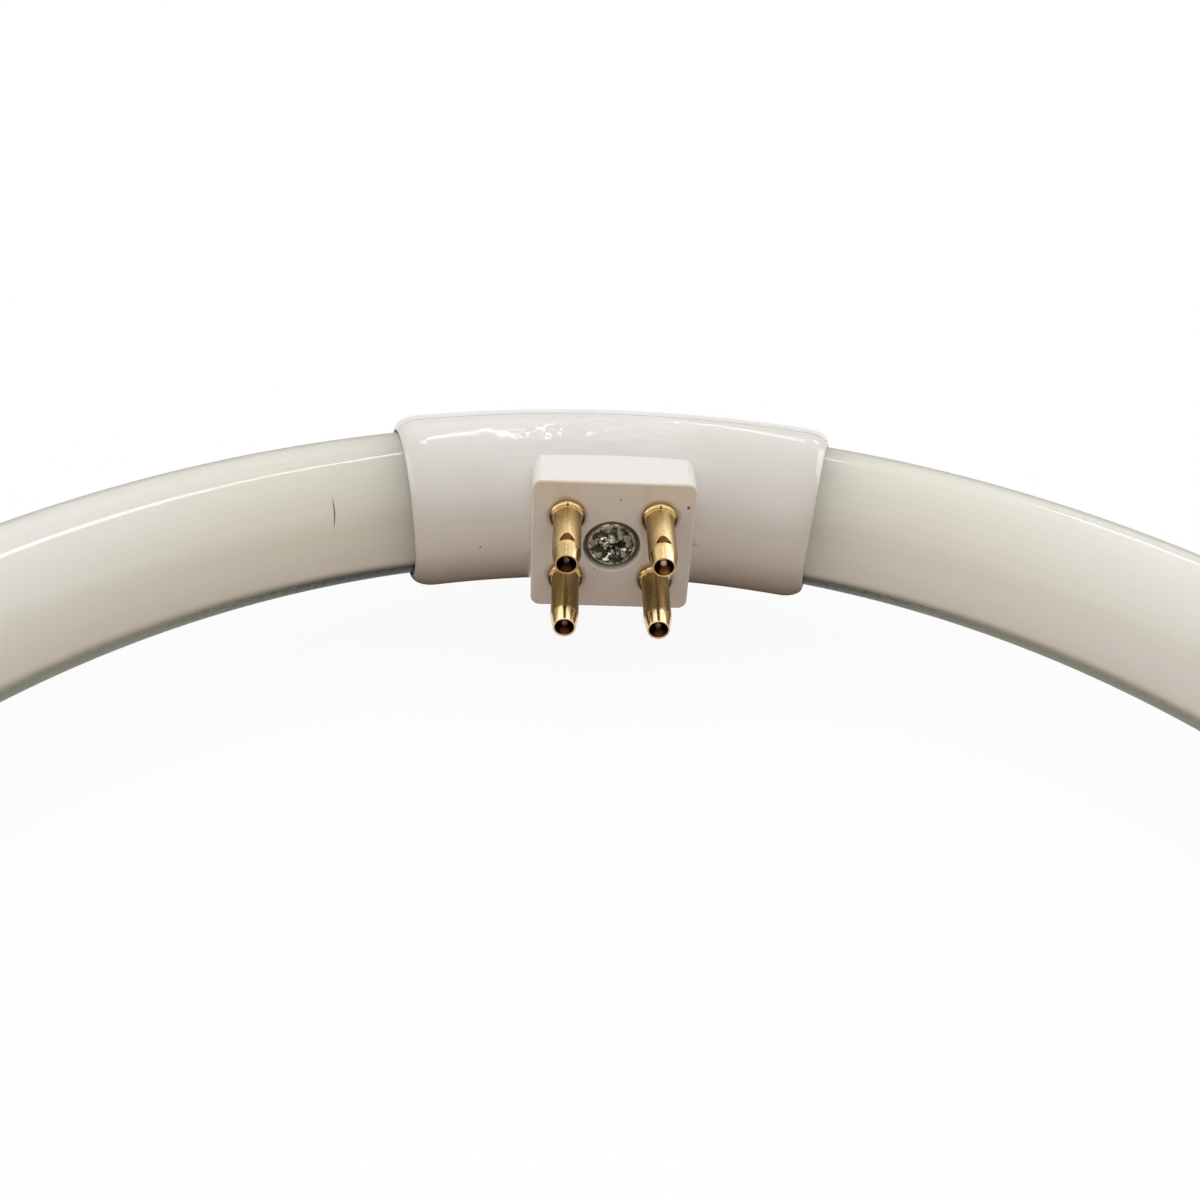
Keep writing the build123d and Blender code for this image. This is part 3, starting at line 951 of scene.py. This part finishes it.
class LAMP_OT_clamp_screw(bpy.types.Operator):
    """Make the worn cross-head clamp screw"""

    bl_idname = "lamp.clamp_screw"
    bl_label = "Clamp Screw"

    def execute(self, context):
        screw = context.scene.lamp.screw
        bm = self.turned(screw)
        self.wear(bm, screw)
        new_piece(bm, "screw", zinc_finish(screw), "base", "clamp_screw", sharp=radians(60))
        return {"FINISHED"}

    def turned(self, screw):
        """The screw's half profile, spun about its axis."""
        shank = screw.shank / 2
        seat_y = screw_low.y + screw.head_height
        profile = ((screw_high.y, 0), (screw_high.y, shank), (seat_y, shank), (seat_y, screw_radius),
                   (screw_low.y, screw_radius), (screw_low.y, 0))
        bm = bmesh.new()
        verts = [bm.verts.new((0, y, axis_height + out)) for y, out in profile]
        for pair in zip(verts, verts[1:]):
            bm.edges.new(pair)
        bmesh.ops.bevel(
            bm, geom=[verts[-2]], offset=screw.edge, offset_type="OFFSET", segments=screw.edge_steps,
            profile=0.5, affect="VERTICES", material=-1)
        flat = [edge for edge in bm.edges if all(v.co.y < screw_low.y + WELD for v in edge.verts)]
        bmesh.ops.subdivide_edges(bm, edges=flat, cuts=screw.face_cuts)
        bmesh.ops.spin(
            bm, geom=list(bm.verts) + list(bm.edges), cent=(0, 0, axis_height), axis=(0, -1, 0),
            angle=2 * pi, steps=screw.around, use_merge=True)
        return bm

    def wear(self, bm, screw):
        """Sinks the cross and dents the head's top."""
        face = screw_radius - screw.edge / 2
        fine_size = screw.dent_size / 3
        fine_share = 0.5
        for vert in bm.verts:
            side, rise = vert.co.x, vert.co.z - axis_height
            if vert.co.y < screw_low.y + screw.edge and side ** 2 + rise ** 2 < face ** 2:
                cross = max(self.arm(screw, side, rise), self.arm(screw, rise, side))
                coarse = noise.noise(vert.co / screw.dent_size)
                fine = noise.noise(vert.co / fine_size)
                vert.co.y += screw.slot_depth * cross + screw.dent * (1 + coarse + fine_share * fine)

    def arm(self, screw, along, across):
        """How deep one arm of the cross is, from 0 to 1."""
        slope = (screw.slot_width / 2 - abs(across)) / screw.slot_edge
        end = (screw.slot_length / 2 - abs(along)) / (2 * screw.slot_edge)
        return max(0.0, min(1.0, slope, end))


class LAMP_OT_lead_wires(bpy.types.Operator):
    """Copy the lead wires from the CAD frame and give them their finish"""

    bl_idname = "lamp.lead_wires"
    bl_label = "Lead Wires"

    def execute(self, context):
        finish = wire_finish(context.scene.lamp.wires)
        for level, side in corners:
            name = f"lead_wire_{level}_{side}"
            bm = bmesh.new()
            bm.from_mesh(frame["nodes"][name].data)
            wire = new_piece(bm, f"wire_{level}_{side}", finish, None, name)
            low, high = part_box(name)
            seal_x = high.x if side == "right" else low.x
            pin_x = mounts[f"pin_{level}_{side}"]["pos_m"][0]
            seal_x * 0.85 + pin_x * 0.15
            seal_x * 0.1 + pin_x * 0.9
            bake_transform(wire)
        return {"FINISHED"}


class LAMP_OT_stage(bpy.types.Operator):
    """Set the floor, the light and the camera"""

    bl_idname = "lamp.stage"
    bl_label = "Stage"

    def execute(self, context):
        stage = context.scene.lamp.stage
        self.floor(stage)
        context.scene.world = sky_finish(stage)
        context.scene.view_settings.view_transform = "Standard"
        down = Vector((0, 0, -1))
        for name in ("top", "bar", "line", "strip", "back"):
            self.light(stage, name, down)
        self.light(stage, "right", Vector((-1, 0, 0)))
        self.light(stage, "left", Vector((1, 0, 0)))
        bpy.data.lights["top"].color = stage.top_tint
        context.scene.camera = self.camera(stage)
        return {"FINISHED"}

    def floor(self, stage):
        bm = bmesh.new()
        below = Matrix.Translation((0, 0, -stage.floor_drop))
        bmesh.ops.create_grid(bm, x_segments=1, y_segments=1, size=stage.floor_size / 2, matrix=below)
        mesh = bpy.data.meshes.new("floor")
        bm.to_mesh(mesh)
        bm.free()
        mesh.materials.append(floor_finish(stage))
        floor = bpy.data.objects.new("floor", mesh)
        bpy.context.scene.collection.objects.link(floor)

    def light(self, stage, name, direction):
        lamp = bpy.data.lights.new(name, "AREA")
        lamp.shape = "RECTANGLE"
        lamp.energy = getattr(stage, name + "_power")
        lamp.size, lamp.size_y = getattr(stage, name + "_size")
        holder = bpy.data.objects.new(name, lamp)
        holder.location = getattr(stage, name + "_place")
        holder.rotation_euler = direction.to_track_quat("-Z", "Y").to_euler()
        holder.visible_camera = False
        bpy.context.scene.collection.objects.link(holder)

    def camera(self, stage):
        lens = bpy.data.cameras.new("camera")
        lens.lens = stage.lens
        lens.clip_start = 1 * MM
        holder = bpy.data.objects.new("camera", lens)
        turn = Matrix.Rotation(stage.camera_turn, 4, "Z")
        dip = Matrix.Rotation(pi / 2 - stage.camera_dip, 4, "X")
        roll = Matrix.Rotation(stage.camera_roll, 4, "Z")
        holder.matrix_world = Matrix.Translation(stage.camera) @ turn @ dip @ roll
        bpy.context.scene.collection.objects.link(holder)
        return holder


class LAMP_PT_panel(bpy.types.Panel):
    """Lists the lamp's pieces and their settings"""

    bl_label = "Circular Lamp Tube"
    bl_idname = "LAMP_PT_panel"
    bl_space_type = "VIEW_3D"
    bl_region_type = "UI"
    bl_category = "Lamp"

    def draw(self, context):
        for operator in operators:
            self.layout.operator(operator.bl_idname)
        for group in LampSettings.bl_rna.properties:
            if group.type == "POINTER" and group.identifier != "rna_type":
                box = self.layout.box()
                box.label(text=group.identifier.capitalize())
                settings = getattr(context.scene.lamp, group.identifier)
                for name in settings.__annotations__:
                    box.prop(settings, name)


operators = (
    LAMP_OT_glass_ring,
    LAMP_OT_base_shells,
    LAMP_OT_contact_pins,
    LAMP_OT_clamp_screw,
    LAMP_OT_lead_wires,
    LAMP_OT_stage,
)
classes = (
    GlassSettings, PlasticSettings, PinSettings, ScrewSettings, WireSettings, StageSettings, LampSettings,
    *operators, LAMP_PT_panel)


def register():
    for cls in classes:
        bpy.utils.register_class(cls)
    bpy.types.Scene.lamp = bpy.props.PointerProperty(type=LampSettings)


def unregister():
    del bpy.types.Scene.lamp
    for cls in reversed(classes):
        bpy.utils.unregister_class(cls)


def main():
    register()
    bpy.ops.lamp.glass_ring()
    bpy.ops.lamp.base_shells()
    bpy.ops.lamp.contact_pins()
    bpy.ops.lamp.clamp_screw()
    bpy.ops.lamp.lead_wires()
    bpy.ops.lamp.stage()


if __name__ == "__main__":
    main()
